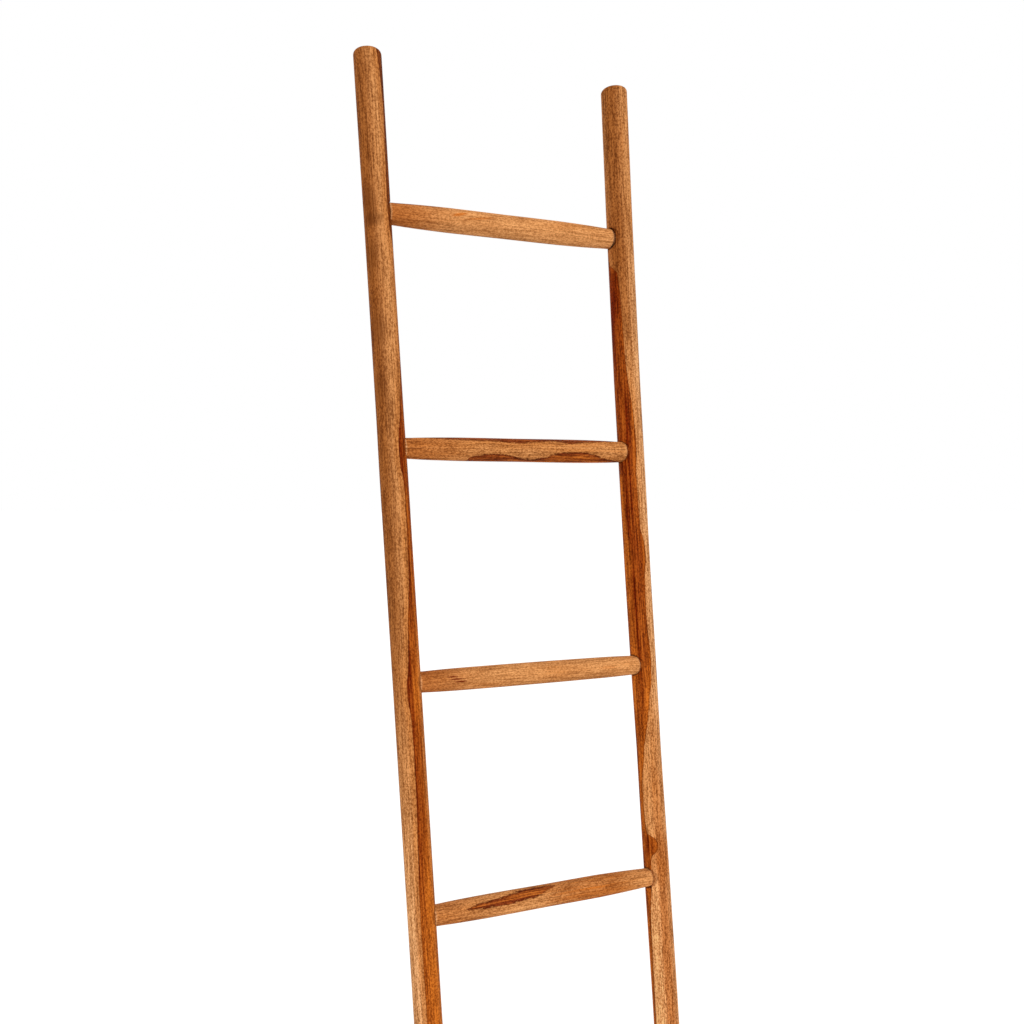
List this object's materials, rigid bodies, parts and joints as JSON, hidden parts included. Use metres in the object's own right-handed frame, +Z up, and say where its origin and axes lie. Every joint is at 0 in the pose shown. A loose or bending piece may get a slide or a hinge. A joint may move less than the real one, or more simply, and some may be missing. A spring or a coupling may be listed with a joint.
{
  "type": "blanket ladder",
  "caption": "Leaning blanket ladder of two round teak poles joined by round cigar-shaped rungs, for hanging throws and towels.",
  "frame": {"origin": "bottom centre of the bounding box, on the floor between the feet and the wall line", "axes": "+X along the rungs towards the right rail, +Y towards the wall that the ladder leans on, +Z up"},
  "size_m": [0.43, 0.3048, 1.7813],
  "materials": {
    "teak_rail": "satin",
    "teak_rung": "satin",
    "teak_peg": "satin"
  },
  "bodies": {
    "root": {"left_rail": "teak_rail", "right_rail": "teak_rail", "rung_1": "teak_rung", "rung_2": "teak_rung", "rung_3": "teak_rung", "rung_4": "teak_rung", "rung_5": "teak_rung", "left_peg_1": "teak_peg", "left_peg_2": "teak_peg", "left_peg_3": "teak_peg", "left_peg_4": "teak_peg", "left_peg_5": "teak_peg", "right_peg_1": "teak_peg", "right_peg_2": "teak_peg", "right_peg_3": "teak_peg", "right_peg_4": "teak_peg", "right_peg_5": "teak_peg"}
  },
  "joints": []
}
